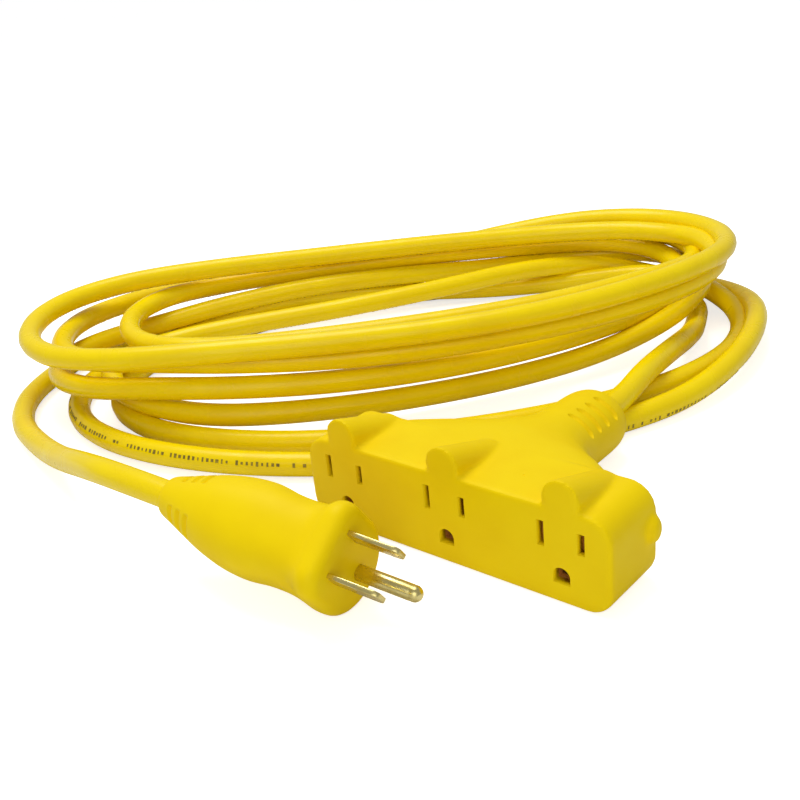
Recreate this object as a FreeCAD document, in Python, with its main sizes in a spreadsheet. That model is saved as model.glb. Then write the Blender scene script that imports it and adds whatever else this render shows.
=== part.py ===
"""Outdoor extension cord: three-outlet moulded tap, loosely coiled cord and moulded plug.

Millimetres, +Z up. X runs along the tap's bar, the outlets face -Y, and the origin is the middle
of the tap's footprint on the ground. The coil lies behind the tap and the plug lies beside it.
"""
import math
import os

import FreeCAD, Part
from FreeCAD import Placement, Rotation, Vector

SIZES = {
    # contact layout of a 15 A, 125 V grounded outlet
    "bladeOffset": 6.35, "groundDrop": 11.9, "bladeWide": 6.35, "bladeThick": 1.5,
    "bladeLong": 16.2, "bladePoint": 1.8, "pinRadius": 2.4, "pinLong": 20.8,
    "pinShank": 2, "pinStart": 0.2, "rootDepth": 14,
    # tap bar
    "outletPitch": 39.5, "barLong": 110, "barHigh": 29.9, "barDeep": 25.5, "barCorner": 8,
    "barEdge": 0.8, "frontFace": -45, "reliefEnd": 45, "slotHeight": 20.9,
    "crestRadius": 5.9, "crestFront": 32.7, "crestBack": 24.6,
    "slotWide": 2, "neutralSlotHigh": 8, "hotSlotHigh": 6.6, "groundHoleRadius": 2.75,
    "endBumpRadius": 4.5, "endBumpProud": 2, "endBumpSunk": 3, "endBumpHeight": 13.5,
    # strain relief of the tap
    "reliefHeight": 12, "reliefGrooveWide": 1.7, "reliefGrooveDeep": 1.3, "reliefGroovePitch": 5.6,
    "reliefGrooveStart": 62.5, "reliefGrooveLong": 16, "reliefHalfHigh": 12.3,
    # contact carrier inside the tap
    "skin": 3, "carrierLong": 100, "carrierHigh": 23, "carrierDeep": 18, "carrierBase": 3.5,
    "carrierWall": 2, "coverThick": 2, "leafThick": 0.8, "leafHigh": 7.4, "leafGap": 1.6,
    "leafLong": 13, "hubLong": 1.5, "stripThick": 0.8, "stripHigh": 3, "stripLong": 86, "stripOver": 3,
    "sleeveInner": 2.5, "sleeveOuter": 3.2, "sleeveLong": 11, "groundStripWide": 5, "pocketRoom": 0.4,
    "channelRoom": 0.2,
    # joints between strips and conductors
    "tailWide": 1.8, "tailThick": 0.8, "tailLong": 7.7, "crimpInner": 1, "crimpOuter": 1.7,
    "crimpLong": 7, "copperRadius": 0.98, "copperLong": 5.2, "wireRadius": 1.6,
    # cord
    "cordDiameter": 9, "coilLowHigh": 9, "coilHigh": 46, "coilLap": 0.5,
    # plug
    "flangeRadius": 14.2, "flangeCentre": 8.5, "flangeFlat": 8.5, "flangeThick": 6.5,
    "plugRelief": 66, "cordOffset": 4, "bridgeLong": 8, "bridgeWide": 22, "bridgeHigh": 20,
    "bridgeSkin": 2, "plugTailWide": 1.3, "plugTailLong": 3,
    "plugGrooveWide": 1.6, "plugGroovePitch": 4, "plugGrooveStart": 52.5, "plugGrooveHigh": 12,
}

PLUG_POSE = Placement(Vector(-5.2, -82.9, 20.9), Rotation(Vector(-0.462, 0.823, -0.331), 103.05))

# The cord's route where it isn't coiled: tap to coil, and coil to plug.
TAP_LEAD = [(0, 45, 12), (0, 61, 12), (-2, 80, 14.4), (-8, 107, 14), (-15, 134, 13.6),
            (-21.5, 161, 9.5), (-25.4, 190.6, 4.5)]
PLUG_LEAD = [(-249, -32.3, 4.5), (-232, -49, 4.5), (-207, -61, 4.6), (-178, -70, 6.6),
             (-150, -78, 12), (-122, -86, 20.5)]

STRAIGHT_OUT = 25

# Outer shape of the coil: centre, half length and half width, and the turn of its long axis.
COIL_LOW_OUTER = ((-106.4, 76.4), 154.5, 96.5, 50)
COIL_LOW_INNER = ((-93.7, 78.1), 122, 37, 50)
COIL_TOP_OUTER = ((-134, 84), 167.5, 98.5, 47)
COIL_TOP_INNER = ((-121, 73.4), 128, 43, 47)

# Elliptical sections of the tap's web and strain relief: depth from the face, half width,
# half height, height of the centre.
TAP_SECTIONS = [(12, 41, 12.6, 15.4), (28, 36, 12.6, 15.2), (45, 21, 12.3, 14), (60, 13.6, 11.9, 12.3),
                (72, 13.4, 11.8, 12), (82, 13, 11.6, 12), (88, 11, 10, 12), (90, 9, 8.2, 12)]
# Elliptical sections of the plug's grip: depth behind the face, half width along the blades' row,
# half width towards the ground pin, shift of the centre towards the ground pin.
PLUG_SECTIONS = [(5, 13.6, 13, 6.4), (14, 13.2, 12.4, 6.2), (22, 13.5, 12.4, 5.8), (31, 14.2, 12.6, 5.4),
                 (39, 13.4, 12, 5), (47, 11.6, 10.8, 4.5), (55, 9.4, 9, 4.1), (61, 7.2, 7.2, 4),
                 (66, 6, 6, 4)]
# Half width left between the plug's grooves, from the thickest one back.
PLUG_GROOVES = [8.9, 7.9, 7.0]

doc = FreeCAD.newDocument("extension_cord")
sheet = doc.addObject("Spreadsheet::Sheet", "Sizes")
for row, (word, value) in enumerate(SIZES.items(), start=1):
    sheet.set(f"A{row}", word)
    sheet.set(f"B{row}", str(value))
    sheet.setAlias(f"B{row}", word)
doc.recompute()

nodes = {}


def size(word):
    return SIZES[word]


def bind(item, **expressions):
    for name, text in expressions.items():
        item.setExpression(name, text)


def finish(label, item):
    """Name a finished sub-part and list it for export."""
    item.Label = label
    nodes[label] = item
    return item


def box(name, corner, length, width, height, pose=None):
    """Box from its low corner; its three lengths are spreadsheet expressions."""
    item = doc.addObject("Part::Box", name)
    bind(item, Length=length, Width=width, Height=height)
    item.Placement = (pose or Placement()).multiply(Placement(Vector(*corner), Rotation()))
    return item


def rod(name, start, direction, radius, length, pose=None):
    """Cylinder from a start point along a direction."""
    item = doc.addObject("Part::Cylinder", name)
    bind(item, Radius=radius, Height=length)
    turn = Rotation(Vector(0, 0, 1), Vector(*direction))
    item.Placement = (pose or Placement()).multiply(Placement(Vector(*start), turn))
    return item


def fuse(name, shapes):
    item = doc.addObject("Part::MultiFuse", name)
    item.Shapes = shapes
    return item


def cut(name, base, tool):
    item = doc.addObject("Part::Cut", name)
    item.Base = base
    item.Tool = tool
    return item


def group(name, links):
    item = doc.addObject("Part::Compound", name)
    item.Links = links
    return item


def ellipse(name, centre, across, up, half_across, half_up):
    """Ellipse whose long side lies along whichever half width is larger."""
    across, up = Vector(*across), Vector(*up)
    if half_up > half_across:
        across, up = up, -across
        half_across, half_up = half_up, half_across
    item = doc.addObject("Part::Ellipse", name)
    item.MajorRadius = half_across
    item.MinorRadius = half_up
    item.Placement = Placement(Vector(*centre), Rotation(across, up, across.cross(up)))
    return item


def loft(name, sections):
    item = doc.addObject("Part::Loft", name)
    item.Sections = sections
    item.Solid = True
    item.Ruled = False
    return item


def tap_point(x, depth, z):
    """Point in the tap, with its depth measured from the outlet face."""
    return (x, size("frontFace") + depth, z)


# ---------------------------------------------------------------- tap: contacts and strips

OUTLETS = {"left": -size("outletPitch"), "middle": 0.0, "right": size("outletPitch")}
POLES = {
    # side of the slot, bottom of the hub and strip on the leaves, where the tail leaves the strip
    "neutral": {"side": -1, "strip": 21.8, "tail": -12},
    "hot": {"side": 1, "strip": 17.2, "tail": 12},
}
GROUND_Z = size("slotHeight") - size("groundDrop")
LEAF_START = 5.5
HUB_START = LEAF_START + size("leafLong")
STRIP_START = HUB_START + size("hubLong")
GROUND_STRIP_DEPTH = 9.5
GROUND_STRIP_Z = GROUND_Z - size("sleeveOuter") - size("stripThick")
GROUND_TAIL_X = 12
TAIL_END = STRIP_START + size("stripThick") + size("tailLong")
CRIMP_START = TAIL_END - 2.5
COPPER_START = TAIL_END + 0.2
WIRE_START = CRIMP_START + size("crimpLong") + 1.7
JACKET_START = 58
half_gap = size("leafGap") / 2
leaf_low = size("slotHeight") - size("leafHigh") / 2


def blade_contact(pole, place, centre):
    """Folded brass contact: two leaves that grip a blade, on a hub that joins the strip."""
    layout = POLES[pole]
    x = centre + layout["side"] * size("bladeOffset")
    name = f"{pole}_contact_{place}"
    leaves = []
    for side, start in (("near", x - half_gap - size("leafThick")), ("far", x + half_gap)):
        corner = tap_point(start, LEAF_START, leaf_low)
        leaves.append(box(f"{name}_{side}", corner, "Sizes.leafThick", "Sizes.leafLong", "Sizes.leafHigh"))
    hub_corner = tap_point(x - half_gap - size("leafThick"), HUB_START, layout["strip"])
    hub = box(f"{name}_hub", hub_corner, "Sizes.leafGap + 2 * Sizes.leafThick", "Sizes.hubLong",
              "Sizes.stripHigh")
    return finish(name, fuse(name, leaves + [hub]))


def ground_contact(place, centre):
    """Brass sleeve that the round ground pin slides through."""
    name = f"ground_contact_{place}"
    start = tap_point(centre, LEAF_START, GROUND_Z)
    outer = rod(f"{name}_outer", start, (0, 1, 0), "Sizes.sleeveOuter", "Sizes.sleeveLong")
    inner = rod(f"{name}_inner", start, (0, 1, 0), "Sizes.sleeveInner", "Sizes.sleeveLong")
    return finish(name, cut(name, outer, inner))


def blade_strip(pole):
    """Brass strip across the three hubs of one pole, with a tail out of the back."""
    layout = POLES[pole]
    name = f"{pole}_strip"
    corner = tap_point(-size("stripLong") / 2 - size("stripOver"), STRIP_START, layout["strip"])
    band = box(f"{name}_band", corner, "Sizes.stripLong + 2 * Sizes.stripOver", "Sizes.stripThick",
               "Sizes.stripHigh")
    tail_corner = tap_point(layout["tail"] - size("tailWide") / 2, STRIP_START + size("stripThick"),
                            layout["strip"] + (size("stripHigh") - size("tailThick")) / 2)
    tail = box(f"{name}_tail", tail_corner, "Sizes.tailWide", "Sizes.tailLong", "Sizes.tailThick")
    return finish(name, fuse(name, [band, tail]))


def ground_strip():
    """Brass strip under the three sleeves, with a tail out of the back."""
    corner = tap_point(-size("stripLong") / 2, GROUND_STRIP_DEPTH, GROUND_STRIP_Z)
    band = box("ground_strip_band", corner, "Sizes.stripLong", "Sizes.groundStripWide", "Sizes.stripThick")
    tail_start = GROUND_STRIP_DEPTH + size("groundStripWide")
    tail_corner = tap_point(GROUND_TAIL_X - size("tailWide") / 2, tail_start, GROUND_STRIP_Z)
    tail_long = TAIL_END - tail_start
    tail = box("ground_strip_tail", tail_corner, "Sizes.tailWide", str(tail_long), "Sizes.tailThick")
    return finish("ground_strip", fuse("ground_strip", [band, tail]))


contacts = []
for place, centre in OUTLETS.items():
    contacts += [blade_contact(pole, place, centre) for pole in POLES]
    contacts.append(ground_contact(place, centre))
strips = [blade_strip("neutral"), blade_strip("hot"), ground_strip()]

# ---------------------------------------------------------------- tap: conductors

TAP_JOINTS = {
    "neutral": (POLES["neutral"]["tail"], POLES["neutral"]["strip"] + size("stripHigh") / 2, 150),
    "hot": (POLES["hot"]["tail"], POLES["hot"]["strip"] + size("stripHigh") / 2, 30),
    "ground": (GROUND_TAIL_X, GROUND_STRIP_Z + size("stripThick") / 2, 270),
}
LAY_RADIUS = 1.95


def lay_point(angle):
    """Where a conductor lies in the cord's section."""
    turn = math.radians(angle)
    return LAY_RADIUS * math.cos(turn), LAY_RADIUS * math.sin(turn)


def crimp(name, start, direction, pose=None):
    outer = rod(f"{name}_outer", start, direction, "Sizes.crimpOuter", "Sizes.crimpLong", pose)
    inner = rod(f"{name}_inner", start, direction, "Sizes.crimpInner", "Sizes.crimpLong", pose)
    return finish(name, cut(name, outer, inner))


def wire(name, start, end, pose=None):
    """Insulated conductor, straight from its crimp to the cord's jacket."""
    along = Vector(*end) - Vector(*start)
    return finish(name, rod(name, start, tuple(along), "Sizes.wireRadius", str(along.Length), pose))


tap_conductors = []
for pole, (x, z, angle) in TAP_JOINTS.items():
    along, across = (0, 1, 0), lay_point(angle)
    tap_conductors.append(crimp(f"tap_{pole}_crimp", tap_point(x, CRIMP_START, z), along))
    copper = rod(f"tap_{pole}_copper", tap_point(x, COPPER_START, z), along,
                 "Sizes.copperRadius", "Sizes.copperLong")
    tap_conductors.append(finish(f"tap_{pole}_copper", copper))
    end = tap_point(across[0], JACKET_START - 0.8, size("reliefHeight") + across[1])
    tap_conductors.append(wire(f"tap_{pole}_wire", tap_point(x, WIRE_START, z), end))
jacket_long = str(size("reliefEnd") - size("frontFace") - JACKET_START)
tap_jacket = finish("tap_jacket_end", rod("tap_jacket_end", tap_point(0, JACKET_START, size("reliefHeight")),
                                          (0, 1, 0), "Sizes.cordDiameter / 2", jacket_long))

# ---------------------------------------------------------------- tap: carrier, cover, overmould

carrier_corner = tap_point(-size("carrierLong") / 2, size("skin"), size("carrierBase"))


def slot_tools(name, start, depth):
    """The blade slots and ground holes of all three outlets, cut to one depth."""
    tools = []
    for place, centre in OUTLETS.items():
        for pole, layout in POLES.items():
            high = f"Sizes.{pole}SlotHigh"
            x = centre + layout["side"] * size("bladeOffset") - size("slotWide") / 2
            z = size("slotHeight") - size(f"{pole}SlotHigh") / 2
            tools.append(box(f"{name}_{pole}_{place}", tap_point(x, start, z), "Sizes.slotWide", depth,
                             high))
        hole_start = tap_point(centre, start, GROUND_Z)
        tools.append(rod(f"{name}_arch_{place}", hole_start, (0, 1, 0), "Sizes.groundHoleRadius", depth))
        foot = tap_point(centre - size("groundHoleRadius"), start, GROUND_Z - size("pinRadius"))
        tools.append(box(f"{name}_foot_{place}", foot, "2 * Sizes.groundHoleRadius", depth,
                         "Sizes.pinRadius"))
    return tools


def carrier():
    """Rigid block that holds the contacts, open at the back."""
    block = box("carrier_block", carrier_corner, "Sizes.carrierLong", "Sizes.carrierDeep",
                "Sizes.carrierHigh")
    pocket_start = size("skin") + size("carrierWall")
    pocket_deep = "Sizes.carrierDeep - Sizes.carrierWall"
    room = size("pocketRoom")
    blade_pocket = half_gap + size("leafThick") + 2.5 * room
    sleeve_pocket = size("sleeveOuter") + room
    tools = slot_tools("carrier", size("skin"), "Sizes.carrierWall")
    for place, centre in OUTLETS.items():
        for pole, layout in POLES.items():
            x = centre + layout["side"] * size("bladeOffset") - blade_pocket
            tools.append(box(f"pocket_{pole}_{place}", tap_point(x, pocket_start, leaf_low - room),
                             str(2 * blade_pocket), pocket_deep, "Sizes.leafHigh + 2 * Sizes.pocketRoom"))
        corner = tap_point(centre - sleeve_pocket, pocket_start, GROUND_STRIP_Z + size("stripThick"))
        tools.append(box(f"pocket_ground_{place}", corner, str(2 * sleeve_pocket), pocket_deep,
                         str(2 * sleeve_pocket)))
    room = size("channelRoom")
    back = size("skin") + size("carrierDeep")
    for pole, layout in POLES.items():
        corner = tap_point(-size("stripLong") / 2 - size("stripOver") - room, STRIP_START - room / 2,
                           layout["strip"] - room)
        tools.append(box(f"channel_{pole}", corner,
                         "Sizes.stripLong + 2 * Sizes.stripOver + 2 * Sizes.channelRoom",
                         str(back - STRIP_START + room / 2), "Sizes.stripHigh + 2 * Sizes.channelRoom"))
    corner = tap_point(-size("stripLong") / 2 - room, GROUND_STRIP_DEPTH - room, GROUND_STRIP_Z)
    tools.append(box("channel_ground", corner, "Sizes.stripLong + 2 * Sizes.channelRoom",
                     str(back - GROUND_STRIP_DEPTH + room), "Sizes.stripThick"))
    return finish("tap_carrier", cut("tap_carrier", block, fuse("carrier_tools", tools)))


def cover():
    """Back plate of the carrier, with a slit for each tail."""
    corner = tap_point(-size("carrierLong") / 2, size("skin") + size("carrierDeep"), size("carrierBase"))
    plate = box("cover_plate", corner, "Sizes.carrierLong", "Sizes.coverThick", "Sizes.carrierHigh")
    slits = []
    for pole, (x, z, _) in TAP_JOINTS.items():
        slit = tap_point(x - size("tailWide") / 2, size("skin") + size("carrierDeep"),
                         z - size("tailThick") / 2)
        slits.append(box(f"slit_{pole}", slit, "Sizes.tailWide", "Sizes.coverThick", "Sizes.tailThick"))
    return finish("tap_carrier_cover", cut("tap_carrier_cover", plate, fuse("cover_slits", slits)))


def along_depth(edge):
    """Whether an edge runs straight from the face to the back."""
    first, last = edge.Vertexes[0].Point, edge.Vertexes[-1].Point
    return abs(first.x - last.x) < 0.01 and abs(first.z - last.z) < 0.01


def rounded_bar():
    corner = tap_point(-size("barLong") / 2, 0, 0)
    block = box("bar_block", corner, "Sizes.barLong", "Sizes.barDeep", "Sizes.barHigh")
    doc.recompute()
    corners = doc.addObject("Part::Fillet", "bar_corners")
    corners.Base = block
    corners.Edges = [(number, size("barCorner"), size("barCorner"))
                     for number, edge in enumerate(block.Shape.Edges, start=1) if along_depth(edge)]
    doc.recompute()
    edges = doc.addObject("Part::Fillet", "bar_edges")
    edges.Base = corners
    edges.Edges = [(number, size("barEdge"), size("barEdge"))
                   for number, edge in enumerate(corners.Shape.Edges, start=1) if not along_depth(edge)]
    return edges


def crest(place, centre):
    """Half-round ridge over one outlet, sloping down to the back of the bar."""
    front = Vector(*tap_point(centre, 0, size("crestFront")))
    back = Vector(*tap_point(centre, size("barDeep"), size("crestBack")))
    along = (back - front).normalize()
    spare = size("crestRadius")
    start = front - along * spare
    long, high = "Sizes.barDeep + 2 * Sizes.crestRadius", "Sizes.crestRadius"
    round_top = rod(f"crest_round_{place}", tuple(start), tuple(along), "Sizes.crestRadius", long)
    foot = box(f"crest_foot_{place}", (0, 0, 0), "2 * Sizes.crestRadius", long, high)
    tilt = Rotation(Vector(0, 1, 0), along)
    foot.Placement = Placement(start + tilt.multVec(Vector(-spare, 0, -spare)), tilt)
    ridge = fuse(f"crest_ridge_{place}", [round_top, foot])
    corner = tap_point(centre - 2 * spare, 0, size("barHigh") / 2)
    window = box(f"crest_window_{place}", corner, "4 * Sizes.crestRadius", "Sizes.barDeep - Sizes.barEdge",
                 "Sizes.barHigh")
    clipped = doc.addObject("Part::Common", f"crest_{place}")
    clipped.Base = ridge
    clipped.Tool = window
    return clipped


def tap_web():
    """Tapering web and strain relief, lofted back from the bar."""
    sections = [ellipse(f"tap_section_{number}", tap_point(0, depth, height), (1, 0, 0), (0, 0, 1),
                        wide, high)
                for number, (depth, wide, high, height) in enumerate(TAP_SECTIONS)]
    return loft("tap_web", sections)


def relief_grooves():
    """Short grooves across opposite flanks of the strain relief."""
    grooves = []
    centre = Vector(*tap_point(0, 0, size("reliefHeight")))
    for number in range(4):
        depth = size("reliefGrooveStart") + number * size("reliefGroovePitch")
        for flank, turn in (("upper", 35), ("lower", 215)):
            groove = box(f"groove_{flank}_{number}", (0, 0, 0), "Sizes.reliefGrooveLong",
                         "Sizes.reliefGrooveWide", "4 * Sizes.reliefGrooveDeep")
            roll = Rotation(Vector(0, 1, 0), turn)
            floor_level = size("reliefHalfHigh") - size("reliefGrooveDeep")
            shift = roll.multVec(Vector(-size("reliefGrooveLong") / 2, 0, floor_level))
            groove.Placement = Placement(centre + Vector(0, depth, 0) + shift, roll)
            grooves.append(groove)
    return grooves


def tap_overmould():
    """The soft yellow moulding, shaped around everything inside it."""
    solids = [rounded_bar(), tap_web()]
    solids += [crest(place, centre) for place, centre in OUTLETS.items()]
    for side, x in (("left", -1), ("right", 1)):
        start = tap_point(x * (size("barLong") / 2 - size("endBumpSunk")),
                          size("barDeep") - 1.5 * size("endBumpRadius"), size("endBumpHeight"))
        solids.append(rod(f"end_bump_{side}", start, (x, 0, 0), "Sizes.endBumpRadius",
                          "Sizes.endBumpSunk + Sizes.endBumpProud"))
    outside = fuse("tap_outside", solids)
    block = box("carrier_space", carrier_corner, "Sizes.carrierLong", "Sizes.carrierDeep + Sizes.coverThick",
                "Sizes.carrierHigh")
    tools = slot_tools("face", -1, "Sizes.skin + 1") + relief_grooves() + [block]
    for pole, (x, z, _) in TAP_JOINTS.items():
        end = size("skin") + size("carrierDeep")
        tools.append(rod(f"joint_space_{pole}", tap_point(x, end, z), (0, 1, 0), "Sizes.crimpOuter",
                         str(WIRE_START - end)))
    hidden = [item for item in tap_conductors if item.Label.endswith("_wire")] + [tap_jacket]
    return finish("tap_overmould", cut("tap_overmould", outside, group("tap_inside", tools + hidden)))


carrier()
cover()
tap_overmould()

# ---------------------------------------------------------------- plug, in its own axes
# x runs from the neutral blade to the hot blade, y towards the ground pin, z out along the blades.

PINS = {"neutral": (-size("bladeOffset"), 0), "hot": (size("bladeOffset"), 0),
        "ground": (0, size("groundDrop"))}
PIN_ROOT = -size("rootDepth")
PLUG_WIRE_START = PIN_ROOT - size("crimpLong") - 2.1
PLUG_JACKET_START = -45


def plug_blade(pole):
    x, y = PINS[pole]
    corner = (x - size("bladeThick") / 2, y - size("bladeWide") / 2, PIN_ROOT)
    flat = box(f"{pole}_blade_flat", corner, "Sizes.bladeThick", "Sizes.bladeWide",
               "Sizes.bladeLong + Sizes.rootDepth", PLUG_POSE)
    doc.recompute()
    tip_level = size("bladeLong") - 0.01
    tip_edges = []
    for number, edge in enumerate(flat.Shape.Edges, start=1):
        ends = [PLUG_POSE.inverse().multVec(vertex.Point) for vertex in edge.Vertexes]
        across = abs(ends[0].x - ends[1].x) > 1
        if across and min(point.z for point in ends) > tip_level:
            tip_edges.append((number, size("bladePoint"), size("bladePoint")))
    pointed = doc.addObject("Part::Chamfer", f"{pole}_blade_pointed")
    pointed.Base = flat
    pointed.Edges = tip_edges
    half = size("plugTailWide") / 2
    tail = box(f"{pole}_blade_tail", (x - half, y - half, PIN_ROOT - size("plugTailLong")),
               "Sizes.plugTailWide", "Sizes.plugTailWide", "Sizes.plugTailLong", PLUG_POSE)
    return finish(f"{pole}_blade", fuse(f"{pole}_blade", [pointed, tail]))


def plug_pin():
    x, y = PINS["ground"]
    shaft_long = size("pinLong") - size("pinRadius")
    shank = rod("ground_pin_shank", (x, y, PIN_ROOT), (0, 0, 1), "Sizes.pinShank",
                "Sizes.rootDepth + Sizes.pinStart", PLUG_POSE)
    shaft = rod("ground_pin_shaft", (x, y, size("pinStart")), (0, 0, 1), "Sizes.pinRadius",
                "Sizes.pinLong - Sizes.pinRadius - Sizes.pinStart", PLUG_POSE)
    tip = doc.addObject("Part::Sphere", "ground_pin_tip")
    bind(tip, Radius="Sizes.pinRadius")
    tip.Placement = PLUG_POSE.multiply(Placement(Vector(x, y, shaft_long), Rotation()))
    tail = rod("ground_pin_tail", (x, y, PIN_ROOT - size("plugTailLong")), (0, 0, 1),
               "Sizes.plugTailWide / 2", "Sizes.plugTailLong", PLUG_POSE)
    return finish("ground_pin", fuse("ground_pin", [shank, shaft, tip, tail]))


pins = [plug_blade("neutral"), plug_blade("hot"), plug_pin()]

bridge_corner = (-size("bridgeWide") / 2, -4, -size("bridgeSkin") - size("bridgeLong"))
bridge_block = box("bridge_block", bridge_corner, "Sizes.bridgeWide", "Sizes.bridgeHigh",
                   "Sizes.bridgeLong", PLUG_POSE)
finish("plug_bridge", cut("plug_bridge", bridge_block, group("bridge_pins", pins)))

plug_conductors = []
for pole, angle in (("neutral", 210), ("hot", 330), ("ground", 90)):
    x, y = PINS[pole]
    across = lay_point(angle)
    crimp_start = (x, y, PIN_ROOT - size("crimpLong"))
    plug_conductors.append(crimp(f"plug_{pole}_crimp", crimp_start, (0, 0, 1), PLUG_POSE))
    copper_start = (x, y, PIN_ROOT - size("plugTailLong") - 0.2 - size("copperLong"))
    copper = rod(f"plug_{pole}_copper", copper_start, (0, 0, 1), "Sizes.copperRadius",
                 "Sizes.copperLong", PLUG_POSE)
    plug_conductors.append(finish(f"plug_{pole}_copper", copper))
    end = (across[0], size("cordOffset") + across[1], PLUG_JACKET_START + 0.8)
    plug_conductors.append(wire(f"plug_{pole}_wire", (x, y, PLUG_WIRE_START), end, PLUG_POSE))
plug_jacket = finish("plug_jacket_end", rod("plug_jacket_end", (0, size("cordOffset"), -size("plugRelief")),
                                            (0, 0, 1), "Sizes.cordDiameter / 2",
                                            f"Sizes.plugRelief + {PLUG_JACKET_START}", PLUG_POSE))


def plug_overmould():
    """D-shaped flange, waisted grip and grooved strain relief of the plug, around its inside."""
    low = -size("flangeThick")
    flange_round = rod("flange_round", (0, size("flangeCentre"), low), (0, 0, 1), "Sizes.flangeRadius",
                       "Sizes.flangeThick", PLUG_POSE)
    flange_square = box("flange_square", (-size("flangeRadius"), -size("flangeFlat"), low),
                        "2 * Sizes.flangeRadius", "Sizes.flangeFlat + Sizes.flangeCentre",
                        "Sizes.flangeThick", PLUG_POSE)
    sections = []
    for number, (depth, wide, high, shift) in enumerate(PLUG_SECTIONS):
        section = ellipse(f"plug_section_{number}", (0, shift, -depth), (1, 0, 0), (0, 1, 0), wide, high)
        section.Placement = PLUG_POSE.multiply(section.Placement)
        sections.append(section)
    outside = fuse("plug_outside", [flange_round, flange_square, loft("plug_grip", sections)])
    grooves = []
    reach = size("plugGroovePitch")
    for number, half in enumerate(PLUG_GROOVES):
        for side, x in (("left", -half - reach), ("right", half)):
            corner = (x, size("cordOffset") - size("plugGrooveHigh") / 2,
                      -size("plugGrooveStart") - number * size("plugGroovePitch"))
            grooves.append(box(f"plug_groove_{side}_{number}", corner, str(reach), "Sizes.plugGrooveHigh",
                               "Sizes.plugGrooveWide", PLUG_POSE))
    joints = [rod(f"plug_joint_{pole}", (x, y, PLUG_WIRE_START), (0, 0, 1), "Sizes.crimpOuter",
                  f"{PIN_ROOT - PLUG_WIRE_START}", PLUG_POSE) for pole, (x, y) in PINS.items()]
    hidden = [item for item in plug_conductors if item.Label.endswith("_wire")] + [plug_jacket]
    inside = group("plug_inside", pins + [bridge_block] + joints + hidden + grooves)
    return finish("plug_overmould", cut("plug_overmould", outside, inside))


plug_overmould()

# ---------------------------------------------------------------- cord


def cord_path(points):
    """Straight runs joined by tangent arcs, each arc as large as its two runs allow."""
    corners = [Vector(*point) for point in points]
    edges, radii, start = [], [], corners[0]
    for before, corner, after in zip(corners, corners[1:], corners[2:]):
        back, ahead = (before - corner), (after - corner)
        reach = 0.45 * min(back.Length, ahead.Length)
        half_turn = (math.pi - back.getAngle(ahead)) / 2
        radius = reach / math.tan(half_turn)
        radii.append(radius)
        back_unit, ahead_unit = Vector(back).normalize(), Vector(ahead).normalize()
        arc_start, arc_end = corner + back_unit * reach, corner + ahead_unit * reach
        inward = (back_unit + ahead_unit).normalize()
        middle = corner + inward * (radius / math.cos(half_turn) - radius)
        edges.append(Part.LineSegment(start, arc_start).toShape())
        edges.append(Part.Arc(arc_start, middle, arc_end).toShape())
        start = arc_end
    edges.append(Part.LineSegment(start, corners[-1]).toShape())
    return Part.Wire(edges), radii


def cord_tube(label, points):
    path, radii = cord_path(points)
    radius = size("cordDiameter") / 2
    first_run = (Vector(*points[1]) - Vector(*points[0]))
    profile = Part.Wire([Part.Circle(Vector(*points[0]), first_run, radius).toShape()])
    item = doc.addObject("Part::Feature", label)
    item.Shape = path.makePipeShell([profile], True, True)
    ideal = math.pi * radius ** 2 * path.Length
    print(f"{label}: length {path.Length:.1f}, radii {[round(value) for value in radii]},"
          f" volume {item.Shape.Volume / ideal:.4f} of section times length")
    return finish(label, item)


def ring(name, outer, inner, base, high):
    """Flat elliptical ring between two outlines."""
    walls = []
    for side, ((x, y), half_long, half_wide, yaw) in (("outer", outer), ("inner", inner)):
        turn = Rotation(Vector(0, 0, 1), yaw)
        outline = doc.addObject("Part::Ellipse", f"{name}_{side}_outline")
        outline.MajorRadius = half_long
        outline.MinorRadius = half_wide
        outline.Placement = Placement(Vector(x, y, base), turn)
        wall = doc.addObject("Part::Extrusion", f"{name}_{side}")
        wall.Base = outline
        wall.DirMode = "Custom"
        wall.Dir = Vector(0, 0, 1)
        wall.Solid = True
        bind(wall, LengthFwd=high)
        walls.append(wall)
    return cut(name, *walls)


def on_plug_axis(depth):
    """Point on the cord's line behind the plug's face."""
    return tuple(PLUG_POSE.multVec(Vector(0, size("cordOffset"), -depth)))


relief_run = [on_plug_axis(size("plugRelief") + STRAIGHT_OUT), on_plug_axis(size("plugRelief"))]
leads = [cord_tube("cord_tap_lead", TAP_LEAD), cord_tube("cord_plug_lead", PLUG_LEAD + relief_run)]
low_ring = ring("coil_low", COIL_LOW_OUTER, COIL_LOW_INNER, 0, "Sizes.coilLowHigh")
top_ring = ring("coil_top", COIL_TOP_OUTER, COIL_TOP_INNER, size("coilLowHigh") - size("coilLap"),
                "Sizes.coilHigh - Sizes.coilLowHigh + Sizes.coilLap")
coil_outside = fuse("coil_outside", [low_ring, top_ring])
finish("cord_coil", cut("cord_coil", coil_outside, group("coil_leads", leads)))

doc.recompute()

for item in doc.Objects:
    assert not {"Invalid", "Error"} & set(item.State), f"{item.Label}: {item.State}"
os.makedirs("parts", exist_ok=True)
for label, item in nodes.items():
    shape = item.Shape
    assert not shape.isNull() and shape.isValid(), f"{label} has no valid shape"
    shape.exportStep(f"parts/{label}.step")
    if len(shape.Solids) != 1:
        print(f"{label}: {len(shape.Solids)} solids")
print(f"{len(nodes)} sub-parts written")
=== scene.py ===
import math

import bmesh
import bpy
import numpy
from mathutils import Matrix, Vector


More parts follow.
